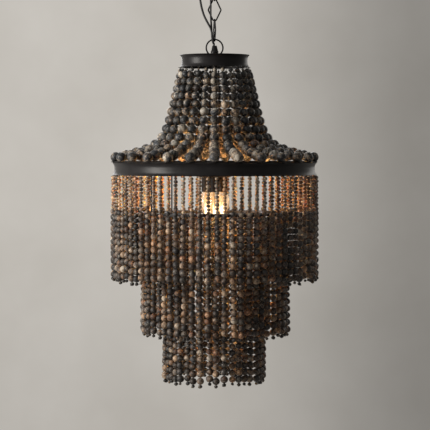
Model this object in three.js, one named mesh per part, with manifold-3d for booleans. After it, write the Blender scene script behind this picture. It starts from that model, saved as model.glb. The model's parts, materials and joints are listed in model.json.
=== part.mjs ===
// A beaded chandelier: a ceiling canopy, a short chain of diamond links with two cords, a trumpet-shaped
// crown of graded beads between two spool-shaped steel bands, and three stepped curtains of bead strands
// round three candle bulbs. Millimetres, +Z up, origin at the middle of the mounting strap's top face, which
// lies against the ceiling.
import * as THREE from "three";
import { mergeVertices } from "three/addons/utils/BufferGeometryUtils.js";
import Module from "manifold-3d";

const wasm = await Module();
wasm.setup();

// Clearances and shared overruns
const seatGap = 0.3;
const cutOverrun = 2;
const fuseDepth = 0.6;
const weldTolerance = 0.001;

// Ceiling mounting strap
const strapLength = 100;
const strapWidth = 22;
const strapThickness = 3;
const strapSlotOffset = 35;
const strapSlotLength = 16;
const strapSlotWidth = 5;
const studRadius = 5;
const studReach = 36;

// Ceiling canopy
const canopyRadius = 60;
const canopyDepth = 28;
const canopyWall = 1.6;
const canopyCornerRadius = 14;

// Rubber bushing where the cords enter the canopy
const bushingOffset = 26;
const bushingNeckRadius = 7.5;
const bushingFlangeRadius = 9.5;
const bushingFlangeThickness = 2.2;

// Screw collar loop under the canopy
const collarRadius = 11;
const collarHeight = 12;
const loopWireRadius = 2.2;
const loopRadius = 12.5;

// Chain
const linkCount = 4;
const linkWireRadius = 1.8;
const linkLength = 56;
const linkWidth = 34;
const linkTipRadius = 5.2;
const linkSideRadius = 4.5;
const chainYawDegrees = 8;

// Round ring that carries the body
const ringWireRadius = 1.9;
const ringRadius = 20.2;

// Stem head, a turned fitting that hangs on the ring, and the rubber boot on it
const headDrop = 3.1;
const headWaistRadius = 6;
const headWaistAbove = 6;
const headWaistBelow = 4;
const headFlangeRadius = 9;
const headFlangeThickness = 3;
const ringHoleClearance = 0.7;
const bootHeight = 16;
const bootTopRadius = 5.8;
const bootBaseRadius = 9.8;
const bootLipHeight = 2.5;

// Cords
const supplyCordDiameter = 5.2;
const earthWireDiameter = 4.6;
const cordStraight = 3.5;
const cordBootSpread = 2.9;
const cordBootLean = 1.6;
const cordSides = 8;
const cordSteps = 22;

// Steel bands
const bandWall = 2;
const bandFlare = 5;
const crownBandRadius = 84;
const crownBandHeight = 30;
const mainBandRadius = 245;
const mainBandHeight = 30;
const crownToMainDrop = 258;

// Stem, spiders and nuts
const stemRadius = 6.5;
const spokeWidth = 14;
const spokeThickness = 4;
const spokeCount = 3;
const crownHubRadius = 18;
const mainHubRadius = 24;
const nutAcrossCorners = 24;
const nutHeight = 7;
const mainSpiderInset = 13;

// Lamp cluster
const bulbCount = 3;
const cupRadius = 42;
const cupHeight = 18;
const cupEdgeRadius = 6;
const bulbCircleRadius = 22;
const socketRadius = 12;
const socketLength = 35;
const socketBoreRadius = 7.8;
const socketBoreDepth = 24;
const bulbBaseRadius = 6.9;
const bulbBaseLength = 21;
const bulbRadius = 17.4;
const bulbGlassLength = 61;
const finialRadius = 9;
const finialLength = 14;

// Bead strands of the crown: the beads' sizes run from the crown band down to the main band
const crownStrandCount = 27;
const crownSectionStrandCount = 4;
const crownLargestBead = 26;
const crownBeadShares = [0.62, 0.65, 0.69, 0.73, 0.77, 0.81, 0.85, 0.88, 0.92, 0.96, 1, 1, 1, 0.96];
const crownRailInset = 2.4;
const crownLeaveDegrees = 13;
const crownLeaveReach = 185;
const crownLandDegrees = 10.2;
const crownLandReach = 152;
const crownEndInset = 6;
const stringRadius = 1.5;

// Hanging curtains of bead strands: small beads above, then beads that grow downwards, then a small end bead
const curtainSectionStrandCount = 8;
const fringeTurnShare = 0.25;
const smallBeadDiameter = 8;
const firstGradedDiameter = 12;
const lastGradedDiameter = 17;
const gradedLength = 165.5;
const endBeadDiameter = 8;
const outerFringeInset = 1;
const outerFringeSectionCount = 10;
const outerSmallLength = 83;
const middleFringeRadius = 171.5;
const middleFringeSectionCount = 7;
const middleSmallLength = 117.5;
const lowerFringeRadius = 117;
const lowerFringeSectionCount = 5;
const lowerSmallLength = 230.5;
const innerHoopDrop = 89;
const railHeight = 2.4;

// Inner hoops and their hanger rods
const hoopBar = 6;
const rodRadius = 2;
const rodHeadRadius = 4.5;
const rodHeadHeight = 3;

// Facets of the round pieces
const canopyFacets = 24;
const smallFacets = 10;
const fittingFacets = 12;
const loopFacets = 16;
const ringFacets = 20;
const hubFacets = 16;
const nutSides = 6;
const crownFacets = 32;
const mainFacets = 48;
const hoopFacets = 36;
const wireSides = 6;
const beadSides = 4;

// Levels, each measured down from the ceiling
const canopyBottom = -canopyDepth;
const collarTop = canopyBottom - seatGap;
const collarBottom = collarTop - collarHeight;
const loopCentre = collarBottom - loopRadius + fuseDepth;
const loopWireLevel = loopCentre - loopRadius;
const linkWireLength = linkLength - 2 * linkWireRadius;
const firstLinkTop = loopWireLevel + loopWireRadius + seatGap + linkWireRadius;
const linkPitch = linkWireLength - 2 * linkWireRadius - seatGap;
const lastLinkBottom = firstLinkTop - (linkCount - 1) * linkPitch - linkWireLength;
const ringTop = lastLinkBottom + linkWireRadius + seatGap + ringWireRadius;
const ringCentre = ringTop - ringRadius;
const ringBottom = ringCentre - ringRadius;
const rimTop = ringBottom + headDrop;
const headTop = ringBottom + headWaistAbove + headFlangeThickness;
const headBottom = ringBottom - headWaistBelow - headFlangeThickness;
const bootBase = headTop + seatGap;
const bootTop = bootBase + bootHeight;
const crownSpiderTop = headBottom - seatGap;
const crownBandBottom = rimTop - crownBandHeight;
const mainBandTop = rimTop - crownToMainDrop;
const mainBandBottom = mainBandTop - mainBandHeight;
const mainSpiderTop = mainBandTop - mainSpiderInset;
const mainSpiderBottom = mainSpiderTop - spokeThickness;
const cupTop = mainSpiderBottom - seatGap;
const cupBottom = cupTop - cupHeight;
const socketTop = cupBottom - seatGap;
const socketMouth = socketTop - socketLength;
const hoopTop = mainBandBottom - innerHoopDrop;
const hoopBottom = hoopTop - hoopBar;

// Materials
const paint = new THREE.MeshStandardMaterial({ color: 0x1c1b1c, roughness: 0.42, metalness: 0.6 });
const wireSteel = new THREE.MeshStandardMaterial({ color: 0x151414, roughness: 0.5, metalness: 0.6 });
const zinc = new THREE.MeshStandardMaterial({ color: 0x8d8f92, roughness: 0.4, metalness: 0.9 });
const rubber = new THREE.MeshStandardMaterial({ color: 0x0e0e0f, roughness: 0.75, metalness: 0 });
const crownBead = new THREE.MeshStandardMaterial({ color: 0x55504c, roughness: 0.5, metalness: 0 });
const fringeBead = new THREE.MeshStandardMaterial({ color: 0x5e554c, roughness: 0.6, metalness: 0 });
const candleSleeve = new THREE.MeshStandardMaterial({ color: 0x1a1614, roughness: 0.6, metalness: 0.1 });
const glass = new THREE.MeshStandardMaterial({ color: 0xffe9c4, roughness: 0.08, opacity: 0.5 });

// A geometry as a manifold solid, and back again with flat faces.
function solidOf(geometry) {
  const bare = geometry.index ? geometry.toNonIndexed() : geometry.clone();
  bare.deleteAttribute("normal");
  bare.deleteAttribute("uv");
  const merged = mergeVertices(bare, weldTolerance);
  return new wasm.Manifold(
    new wasm.Mesh({
      numProp: 3,
      vertProperties: new Float32Array(merged.attributes.position.array),
      triVerts: new Uint32Array(merged.index.array),
    }),
  );
}

function geometryOf(solid) {
  const mesh = solid.getMesh();
  const geometry = new THREE.BufferGeometry();
  geometry.setAttribute("position", new THREE.BufferAttribute(new Float32Array(mesh.vertProperties), 3));
  geometry.setIndex(new THREE.BufferAttribute(new Uint32Array(mesh.triVerts), 1));
  const flat = geometry.toNonIndexed();
  flat.computeVertexNormals();
  return flat;
}

const joined = (geometries) => wasm.Manifold.union(geometries.map(solidOf));
const cut = (body, tools) => tools.reduce((left, tool) => left.subtract(solidOf(tool)), body);

// A turned piece: the profile holds [radius, height] pairs, from the bottom up on its outside.
function turned(profile, facets) {
  const points = profile.map(([radius, height]) => new THREE.Vector2(radius, height));
  return new THREE.LatheGeometry(points, facets).rotateX(Math.PI / 2);
}

// A turned piece whose profile closes on itself, such as a band.
const turnedRing = (profile, facets) => turned([...profile, profile[0]], facets);

function cylinder(radius, top, bottom, facets = smallFacets) {
  return turned([[0, bottom], [radius, bottom], [radius, top], [0, top]], facets);
}

// A tube through the given centres. Its section has its first corner turned by turnShare of a side from the
// direction that up leaves square to the run, and radii can change from ring to ring.
function tube({ centres, radii, sides, up, closed = false, turnShare = 0 }) {
  const count = centres.length;
  const positions = [];
  const indices = [];
  centres.forEach((centre, i) => {
    const before = centres[closed ? (i - 1 + count) % count : Math.max(i - 1, 0)];
    const after = centres[closed ? (i + 1) % count : Math.min(i + 1, count - 1)];
    const run = after.clone().sub(before).normalize();
    const normal = up.clone().addScaledVector(run, -up.dot(run)).normalize();
    const side = normal.clone().cross(run);
    const radius = Array.isArray(radii) ? radii[i] : radii;
    for (let j = 0; j < sides; j += 1) {
      const angle = ((j + turnShare) / sides) * 2 * Math.PI;
      const corner = centre.clone();
      corner.addScaledVector(side, radius * Math.cos(angle));
      corner.addScaledVector(normal, radius * Math.sin(angle));
      positions.push(corner.x, corner.y, corner.z);
    }
  });
  const spans = closed ? count : count - 1;
  for (let i = 0; i < spans; i += 1) {
    const near = i * sides;
    const far = ((i + 1) % count) * sides;
    for (let j = 0; j < sides; j += 1) {
      const next = (j + 1) % sides;
      indices.push(near + j, near + next, far + next, near + j, far + next, far + j);
    }
  }
  if (!closed) {
    const last = (count - 1) * sides;
    for (let j = 1; j < sides - 1; j += 1) {
      indices.push(0, j + 1, j, last, last + j, last + j + 1);
    }
  }
  const geometry = new THREE.BufferGeometry();
  geometry.setAttribute("position", new THREE.Float32BufferAttribute(positions, 3));
  geometry.setIndex(indices);
  geometry.computeVertexNormals();
  return geometry;
}

const yAxis = new THREE.Vector3(0, 1, 0);
const zAxis = new THREE.Vector3(0, 0, 1);
const polar = (radius, angle, height) =>
  new THREE.Vector3(radius * Math.cos(angle), radius * Math.sin(angle), height);

// A round ring of wire standing in the XZ plane.
function wireRing(radius, wireRadius, centre, facets) {
  const centres = [];
  for (let i = 0; i < facets; i += 1) {
    const angle = (i / facets) * 2 * Math.PI;
    centres.push(new THREE.Vector3(radius * Math.cos(angle), 0, centre + radius * Math.sin(angle)));
  }
  return tube({ centres, radii: wireRadius, sides: wireSides, up: yAxis, closed: true });
}

const part = new THREE.Group();

function add(name, geometry, material, group = part) {
  const mesh = new THREE.Mesh(geometry, material);
  mesh.name = name;
  group.add(mesh);
  return mesh;
}

// Ceiling strap with its welded stud and two screw slots
function mountingStrap() {
  const bar = new THREE.BoxGeometry(strapLength, strapWidth, strapThickness);
  bar.translate(0, 0, -strapThickness / 2);
  const stud = cylinder(studRadius, -strapThickness + fuseDepth, -studReach);
  const slots = [-1, 1].map((end) => {
    const slot = new THREE.BoxGeometry(strapSlotLength, strapSlotWidth, strapThickness + cutOverrun);
    return slot.translate(end * strapSlotOffset, 0, -strapThickness / 2);
  });
  return geometryOf(cut(joined([bar, stud]), slots));
}

// Canopy: a round pan, open at the ceiling, with a stud hole in the middle and a bushing hole beside it
function ceilingCanopy() {
  const cornerSteps = 3;
  const outside = [];
  const inside = [];
  for (let i = 0; i <= cornerSteps; i += 1) {
    const angle = (i / cornerSteps) * (Math.PI / 2);
    const corner = [canopyRadius - canopyCornerRadius, canopyBottom + canopyCornerRadius];
    const inner = canopyCornerRadius - canopyWall;
    outside.push([
      corner[0] + canopyCornerRadius * Math.sin(angle),
      corner[1] - canopyCornerRadius * Math.cos(angle),
    ]);
    inside.unshift([corner[0] + inner * Math.sin(angle), corner[1] - inner * Math.cos(angle)]);
  }
  const studHole = studRadius + seatGap;
  const profile = [
    [studHole, canopyBottom],
    ...outside,
    [canopyRadius, 0],
    [canopyRadius - canopyWall, 0],
    ...inside,
    [studHole, canopyBottom + canopyWall],
  ];
  const pan = solidOf(turnedRing(profile, canopyFacets));
  const hole = cylinder(
    bushingNeckRadius + seatGap,
    canopyBottom + canopyWall + cutOverrun,
    canopyBottom - cutOverrun,
  );
  return geometryOf(cut(pan, [hole.translate(-bushingOffset, 0, 0)]));
}

// Bushing: an H-shaped rubber plug that grips the edge of its hole
function cordBushing() {
  const bottom = canopyBottom - seatGap - bushingFlangeThickness;
  const top = canopyBottom + canopyWall + seatGap + bushingFlangeThickness;
  const profile = [
    [0, bottom],
    [bushingFlangeRadius, bottom],
    [bushingFlangeRadius, canopyBottom - seatGap],
    [bushingNeckRadius, canopyBottom - seatGap],
    [bushingNeckRadius, canopyBottom + canopyWall + seatGap],
    [bushingFlangeRadius, canopyBottom + canopyWall + seatGap],
    [bushingFlangeRadius, top],
    [0, top],
  ];
  return turned(profile, smallFacets).translate(-bushingOffset, 0, 0);
}

// Collar loop: a collar that screws onto the stud, with a ring across the chain's first link
function canopyLoop() {
  const collar = cylinder(collarRadius, collarTop, collarBottom, fittingFacets);
  const eye = wireRing(loopRadius, loopWireRadius, loopCentre, loopFacets).rotateZ(Math.PI / 2);
  const studBore = cylinder(studRadius + seatGap, collarTop + cutOverrun, -studReach - seatGap);
  return geometryOf(cut(joined([collar, eye]), [studBore]));
}

// Chain link: a diamond of round wire in the XZ plane, with rounded tips at all four corners
function chainLink(top) {
  const halfHeight = linkWireLength / 2;
  const halfWidth = linkWidth / 2 - linkWireRadius;
  const centre = top - halfHeight;
  const slope = Math.atan2(halfHeight, halfWidth);
  const arcSteps = 3;
  const corners = [
    { x: halfWidth, z: 0, bend: linkSideRadius, facing: 0, half: Math.PI / 2 - slope },
    { x: 0, z: halfHeight, bend: linkTipRadius, facing: Math.PI / 2, half: slope },
    { x: -halfWidth, z: 0, bend: linkSideRadius, facing: Math.PI, half: Math.PI / 2 - slope },
    { x: 0, z: -halfHeight, bend: linkTipRadius, facing: -Math.PI / 2, half: slope },
  ];
  const centres = corners.flatMap(({ x, z, bend, facing, half }) => {
    const inward = new THREE.Vector2(-Math.cos(facing), -Math.sin(facing));
    const bendCentre = new THREE.Vector2(x, z).addScaledVector(inward, bend);
    return Array.from({ length: arcSteps + 1 }, (_, i) => {
      const angle = facing - half + (i / arcSteps) * 2 * half;
      return new THREE.Vector3(
        bendCentre.x + bend * Math.cos(angle),
        0,
        centre + bendCentre.y + bend * Math.sin(angle),
      );
    });
  });
  return tube({ centres, radii: linkWireRadius, sides: wireSides, up: yAxis, closed: true });
}

// Stem head: two flanges and a waist that the ring passes through
function stemHead() {
  const profile = [
    [0, headBottom],
    [headFlangeRadius, headBottom],
    [headFlangeRadius, headBottom + headFlangeThickness],
    [headWaistRadius, headBottom + headFlangeThickness],
    [headWaistRadius, headTop - headFlangeThickness],
    [headFlangeRadius, headTop - headFlangeThickness],
    [headFlangeRadius, headTop],
    [0, headTop],
  ];
  const hole = wireRing(ringRadius, ringWireRadius + ringHoleClearance, ringCentre, ringFacets);
  return geometryOf(cut(solidOf(turned(profile, fittingFacets)), [hole]));
}

// Boot: the tapered rubber strain relief that the cords go into
function cordBoot() {
  const profile = [
    [0, bootBase],
    [bootBaseRadius, bootBase],
    [bootBaseRadius, bootBase + bootLipHeight],
    [(bootBaseRadius + bootTopRadius) / 2, (bootBase + bootLipHeight + bootTop) / 2],
    [bootTopRadius, bootTop],
    [0, bootTop],
  ];
  return turned(profile, fittingFacets);
}

// Cords. Each route is a list of points: sideways, towards the viewer negative, and up from the crown's rim.
// Both leave the boot straight up, pass the ring and the lowest link, and go straight into the canopy's
// bushing.
const supplyRoute = [
  [-2.8, -3.9, 29], [-4.6, -5.6, 36], [-5.6, -6.4, 45], [-6.8, -6.2, 54], [-10, -5.6, 65],
  [-16.6, -5.4, 77], [-24.6, -5.2, 93], [-30.4, -4.8, 111], [-34.4, -4.2, 132], [-36.6, -3.4, 153],
  [-37.2, -2.6, 173], [-36.2, -1.8, 194], [-33.6, -1, 215], [-30.4, -0.3, 234],
];
const earthRoute = [
  [-3.4, 3.7, 29], [-5.4, 4.8, 36], [-6.4, 4.9, 45], [-6.9, 4, 54], [-7.3, 1.6, 65],
  [-8.2, -2.6, 77], [-9, -5.7, 89], [-9.3, -6.3, 100], [-9.2, -6.3, 118], [-9, -6.2, 138],
  [-9, -6.4, 158], [-9.6, -6.9, 178], [-11.8, -7.2, 198], [-15.6, -6.2, 215], [-20.4, -2, 234],
];

function cord(route, diameter, lower, upper) {
  const bottomEnd = bootTop + seatGap;
  const topEnd = canopyBottom - seatGap - bushingFlangeThickness - seatGap;
  const points = [
    new THREE.Vector3(...lower, bottomEnd),
    new THREE.Vector3(...lower, bottomEnd + cordStraight),
    ...route.map(([x, y, z]) => new THREE.Vector3(x, y, rimTop + z)),
    new THREE.Vector3(...upper, topEnd - 2 * cordStraight),
    new THREE.Vector3(...upper, topEnd),
  ];
  const outline = new THREE.Shape();
  for (let i = 0; i < cordSides; i += 1) {
    const angle = (i / cordSides) * 2 * Math.PI;
    const corner = [(diameter / 2) * Math.cos(angle), (diameter / 2) * Math.sin(angle)];
    if (i === 0) outline.moveTo(...corner);
    else outline.lineTo(...corner);
  }
  return new THREE.ExtrudeGeometry(outline, {
    steps: cordSteps,
    extrudePath: new THREE.CatmullRomCurve3(points),
  });
}

// Spool-shaped band: its outside is drawn in between two lips, and its inside is straight
function band(radius, top, height, facets) {
  const flareShares = [1, 0.25, 0, 0.25, 1];
  const heightShares = [0, 0.14, 0.5, 0.86, 1];
  const waist = radius - bandFlare;
  const outside = flareShares.map((share, i) => [
    waist + share * bandFlare,
    top - height * (1 - heightShares[i]),
  ]);
  const inside = waist - bandWall;
  return turnedRing([...outside, [inside, top], [inside, top - height]], facets);
}

const bandInside = (radius, facets) => (radius - bandFlare - bandWall) * Math.cos(Math.PI / facets);

const spokeAngle = (i) => Math.PI / 2 + (i / spokeCount) * 2 * Math.PI;

// Spider: a hub with flat spokes out to the inside of a band
function spider(hubRadius, top, reach, holeRadii) {
  const bottom = top - spokeThickness;
  const tip = Math.sqrt((reach - seatGap) ** 2 - (spokeWidth / 2) ** 2);
  const hub = cylinder(hubRadius, top, bottom, hubFacets);
  const tools = [cylinder(stemRadius + seatGap, top + cutOverrun, bottom - cutOverrun)];
  const bars = [];
  for (let i = 0; i < spokeCount; i += 1) {
    const angle = spokeAngle(i);
    const bar = new THREE.BoxGeometry(tip, spokeWidth, spokeThickness);
    bars.push(bar.translate(tip / 2, 0, (top + bottom) / 2).rotateZ(angle));
    holeRadii.forEach((radius) => {
      const hole = cylinder(rodRadius + seatGap, top + cutOverrun, bottom - cutOverrun, wireSides);
      const place = polar(radius, angle, 0);
      tools.push(hole.translate(place.x, place.y, 0));
    });
  }
  return geometryOf(cut(joined([hub, ...bars]), tools));
}

// Hex nut on the stem
function stemNut(top) {
  const nut = cylinder(nutAcrossCorners / 2, top, top - nutHeight, nutSides);
  const bore = cylinder(stemRadius + seatGap, top + cutOverrun, top - nutHeight - cutOverrun);
  return geometryOf(cut(solidOf(nut), [bore]));
}

// Lamp cluster
function socketCup() {
  const profile = [
    [stemRadius + seatGap, cupBottom],
    [cupRadius - cupEdgeRadius, cupBottom],
    [cupRadius, cupBottom + cupEdgeRadius],
    [cupRadius, cupTop - cupEdgeRadius / 2],
    [cupRadius - cupEdgeRadius / 2, cupTop],
    [stemRadius + seatGap, cupTop],
  ];
  return turnedRing(profile, hubFacets);
}

function socket() {
  const boreTop = socketMouth + socketBoreDepth;
  const profile = [
    [0, boreTop],
    [socketBoreRadius, boreTop],
    [socketBoreRadius, socketMouth],
    [socketRadius, socketMouth],
    [socketRadius, socketTop],
    [0, socketTop],
  ];
  return turned(profile, smallFacets);
}

function bulb() {
  const glassTop = socketMouth - seatGap;
  const radiusShares = [0, 0.2, 0.62, 0.94, 1, 0.86, 0.56];
  const dropShares = [1, 0.95, 0.78, 0.52, 0.38, 0.2, 0];
  const glassOutline = radiusShares.map((share, i) => [
    share * bulbRadius,
    glassTop - dropShares[i] * bulbGlassLength,
  ]);
  const profile = [
    ...glassOutline,
    [bulbBaseRadius, glassTop],
    [bulbBaseRadius, glassTop + bulbBaseLength],
    [0, glassTop + bulbBaseLength],
  ];
  return turned(profile, smallFacets);
}

// Finial nut that closes the stem under the cup
function finial() {
  const top = cupBottom - seatGap;
  const flareShare = 0.45;
  const profile = [
    [0, top - finialLength],
    [finialRadius * flareShare, top - finialLength],
    [finialRadius, top - finialLength * flareShare],
    [finialRadius, top],
    [0, top],
  ];
  return turned(profile, smallFacets);
}

// Hoop of square bar with headed hanger rods that drop through the spider's spokes
function hoop(radius) {
  const inside = radius - hoopBar / 2;
  const outside = radius + hoopBar / 2;
  const section = [[inside, hoopBottom], [outside, hoopBottom], [outside, hoopTop], [inside, hoopTop]];
  const pieces = [turnedRing(section, hoopFacets)];
  const headBase = mainSpiderTop + seatGap;
  for (let i = 0; i < spokeCount; i += 1) {
    const place = polar(radius, spokeAngle(i), 0);
    const rod = cylinder(rodRadius, headBase + fuseDepth, (hoopTop + hoopBottom) / 2, wireSides);
    const head = cylinder(rodHeadRadius, headBase + rodHeadHeight, headBase, wireSides);
    pieces.push(rod.translate(place.x, place.y, 0), head.translate(place.x, place.y, 0));
  }
  return geometryOf(joined(pieces));
}

// Crown strands: each follows one curve in its own upright plane, from under the crown band's lip, down the
// neck and out to the main band, where its last bead rests on the upper lip.
const crownRailRadius = crownBandRadius - crownRailInset;
const crownRailTop = crownBandBottom - seatGap;
const crownStringTop = crownRailTop - railHeight / 2;
const crownEndBeadRadius = (crownLargestBead * crownBeadShares.at(-1)) / 2;

function crownPath(angle) {
  const leave = THREE.MathUtils.degToRad(crownLeaveDegrees);
  const land = THREE.MathUtils.degToRad(crownLandDegrees);
  const start = [crownRailRadius, crownStringTop];
  const endBead = [mainBandRadius - crownEndInset, mainBandTop + seatGap + crownEndBeadRadius];
  const end = [
    endBead[0] + crownEndBeadRadius * Math.cos(land),
    endBead[1] - crownEndBeadRadius * Math.sin(land),
  ];
  const controls = [
    start,
    [start[0] + crownLeaveReach * Math.sin(leave), start[1] - crownLeaveReach * Math.cos(leave)],
    [end[0] - crownLandReach * Math.cos(land), end[1] + crownLandReach * Math.sin(land)],
    end,
  ];
  return new THREE.CubicBezierCurve3(...controls.map(([radius, height]) => polar(radius, angle, height)));
}

// Rings along a run of beads: a neck before and after each bead, and its belly between them
function beadRings(diameters, start) {
  const neckShare = 0.42;
  const rings = [];
  let along = start;
  diameters.forEach((diameter, i) => {
    if (i > 0) rings.push([along, (neckShare * diameters[i - 1]) / 2]);
    rings.push([along + diameter / 2, diameter / 2]);
    along += diameter;
  });
  return rings;
}

// The diameters of the beads that fit on a strand of that length, counted from its lower end
function fittingBeads(length) {
  const diameters = [];
  let free = length;
  crownBeadShares.toReversed().forEach((share) => {
    const diameter = share * crownLargestBead;
    free -= diameter;
    if (free > 0) diameters.unshift(diameter);
  });
  return diameters;
}

function crownStrand(angle) {
  const path = crownPath(angle);
  const length = path.getLength();
  const diameters = fittingBeads(length);
  const beadsLength = diameters.reduce((sum, diameter) => sum + diameter, 0);
  const rings = [[0, stringRadius], ...beadRings(diameters, length - beadsLength), [length, stringRadius]];
  return tube({
    centres: rings.map(([along]) => path.getPointAt(along / length)),
    radii: rings.map(([, radius]) => radius),
    sides: beadSides,
    up: new THREE.Vector3(-Math.sin(angle), Math.cos(angle), 0),
  });
}

// The angles of one section's strands. The first strand of all is turned by turnShare of a step from the
// front.
function strandAngles(section, perSection, total, turnShare) {
  const step = (2 * Math.PI) / total;
  const first = section * perSection;
  const count = Math.min(perSection, total - first);
  return Array.from({ length: count }, (_, i) => -Math.PI / 2 + step * (first + i + turnShare));
}

function crownSection(section) {
  const angles = strandAngles(section, crownSectionStrandCount, crownStrandCount, 0);
  const rail = tube({
    centres: angles.map((angle) => polar(crownRailRadius, angle, crownStringTop)),
    radii: (railHeight / 2) * Math.SQRT2,
    sides: 4,
    up: zAxis,
    turnShare: 0.5,
  });
  return geometryOf(joined([rail, ...angles.map(crownStrand)]));
}

// Curtain section: strands side by side, each a hanging square bar of as much wood as its beads, tied
// together at their tops by the rail they are strung on. The levels hold [depth, bead diameter] pairs.
function fringeSection(section, sectionCount, radius, top, levels) {
  const strandCount = sectionCount * curtainSectionStrandCount;
  const angles = strandAngles(section, curtainSectionStrandCount, strandCount, fringeTurnShare);
  const widthShare = Math.sqrt(Math.PI / 6);
  const cornerSigns = [[-1, -1], [1, -1], [1, 1], [-1, 1]];
  const sides = cornerSigns.length;
  const rows = [levels[0], [railHeight, levels[0][1]], ...levels.slice(1, -1)];
  const tipDepth = levels.at(-1)[0];
  const perStrand = rows.length * sides + 1;
  const positions = [];
  const indices = [];
  const quad = (a, b, c, d) => indices.push(a, b, c, a, c, d);
  angles.forEach((angle, i) => {
    const outward = polar(1, angle, 0);
    const along = zAxis.clone().cross(outward);
    const axis = polar(radius, angle, top);
    rows.forEach(([depth, diameter]) => {
      const half = (widthShare * diameter) / 2;
      cornerSigns.forEach(([across, sideways]) => {
        const corner = axis.clone().addScaledVector(outward, across * half);
        corner.addScaledVector(along, sideways * half);
        positions.push(corner.x, corner.y, corner.z - depth);
      });
    });
    positions.push(axis.x, axis.y, axis.z - tipDepth);
    const base = i * perStrand;
    const tip = base + rows.length * sides;
    quad(base, base + 1, base + 2, base + 3);
    for (let row = 0; row < rows.length - 1; row += 1) {
      for (let face = 0; face < sides; face += 1) {
        const upper = base + row * sides;
        const lower = upper + sides;
        const next = (face + 1) % sides;
        const bridged = row === 0 && ((face === 0 && i > 0) || (face === 2 && i < angles.length - 1));
        if (!bridged) quad(upper + face, lower + face, lower + next, upper + next);
      }
    }
    for (let face = 0; face < sides; face += 1) {
      indices.push(tip - sides + face, tip, tip - sides + ((face + 1) % sides));
    }
    if (i === angles.length - 1) return;
    const railStart = [3, 2, sides + 2, sides + 3].map((corner) => base + corner);
    const railEnd = [0, 1, sides + 1, sides].map((corner) => base + perStrand + corner);
    railStart.forEach((corner, edge) => {
      const next = (edge + 1) % sides;
      quad(corner, railStart[next], railEnd[next], railEnd[edge]);
    });
  });
  const geometry = new THREE.BufferGeometry();
  geometry.setAttribute("position", new THREE.Float32BufferAttribute(positions, 3));
  geometry.setIndex(indices);
  const flat = geometry.toNonIndexed();
  flat.computeVertexNormals();
  return flat;
}

// The levels of a strand: small beads, the graded beads, and the end bead drawn down to a point. Where the
// small beads show, the strand steps out from the last of them to the first graded bead, and elsewhere its
// width grows evenly all the way down.
function strandLevels(smallLength, stepped) {
  const gradedEnd = smallLength + gradedLength;
  const lastSmall = [smallLength - smallBeadDiameter / 2, smallBeadDiameter];
  const firstGraded = [smallLength + firstGradedDiameter / 2, firstGradedDiameter];
  const step = stepped ? [lastSmall, firstGraded] : [];
  return [
    [0, smallBeadDiameter],
    ...step,
    [gradedEnd - lastGradedDiameter / 2, lastGradedDiameter],
    [gradedEnd + endBeadDiameter, 0],
  ];
}

// Assembly: ceiling fittings
add("mounting_strap", mountingStrap(), zinc);
add("ceiling_canopy", ceilingCanopy(), paint);
add("cord_bushing", cordBushing(), rubber);

// Assembly: chain, ring and stem head, turned together so that the edge-on links show a slit
const chain = new THREE.Group();
chain.rotation.z = THREE.MathUtils.degToRad(chainYawDegrees);
part.add(chain);
add("canopy_loop", canopyLoop(), paint, chain);
for (let i = 0; i < linkCount; i += 1) {
  const link = chainLink(firstLinkTop - i * linkPitch);
  if (i % 2 === 1) link.rotateZ(Math.PI / 2);
  add(`chain_link_${i + 1}`, link, wireSteel, chain);
}
add("hanging_ring", wireRing(ringRadius, ringWireRadius, ringCentre, ringFacets), wireSteel, chain);
add("stem_head", stemHead(), paint, chain);

// Assembly: cords and the boot they enter
add("cord_boot", cordBoot(), rubber);
const entrySpread = (supplyCordDiameter + earthWireDiameter) / 4 + seatGap;
add(
  "supply_cord",
  cord(supplyRoute, supplyCordDiameter, [-cordBootLean, -cordBootSpread], [-bushingOffset - entrySpread, 0]),
  rubber,
);
add(
  "earth_wire",
  cord(earthRoute, earthWireDiameter, [-cordBootLean, cordBootSpread], [-bushingOffset + entrySpread, 0]),
  rubber,
);

// Assembly: frame
const stemTop = headBottom - seatGap;
const stemBottom = cupBottom;
add("crown_band", band(crownBandRadius, rimTop, crownBandHeight, crownFacets), paint);
const crownReach = bandInside(crownBandRadius, crownFacets);
add("crown_spider", spider(crownHubRadius, crownSpiderTop, crownReach, []), paint);
add("crown_nut", stemNut(crownSpiderTop - spokeThickness - seatGap), zinc);
add("stem_pipe", cylinder(stemRadius, stemTop, stemBottom), paint);
add("main_band", band(mainBandRadius, mainBandTop, mainBandHeight, mainFacets), paint);
const mainReach = bandInside(mainBandRadius, mainFacets);
const hoopRadii = [middleFringeRadius, lowerFringeRadius];
add("main_spider", spider(mainHubRadius, mainSpiderTop, mainReach, hoopRadii), paint);
add("spider_nut", stemNut(mainSpiderTop + seatGap + nutHeight), zinc);
add("middle_hoop", hoop(middleFringeRadius), paint);
add("lower_hoop", hoop(lowerFringeRadius), paint);

// Assembly: lamps
add("socket_cup", socketCup(), paint);
add("finial", finial(), paint);
for (let i = 0; i < bulbCount; i += 1) {
  const place = polar(bulbCircleRadius, -Math.PI / 2 + (i / bulbCount) * 2 * Math.PI, 0);
  add(`socket_${i + 1}`, socket(), candleSleeve).position.copy(place);
  add(`bulb_${i + 1}`, bulb(), glass).position.copy(place);
}

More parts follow.
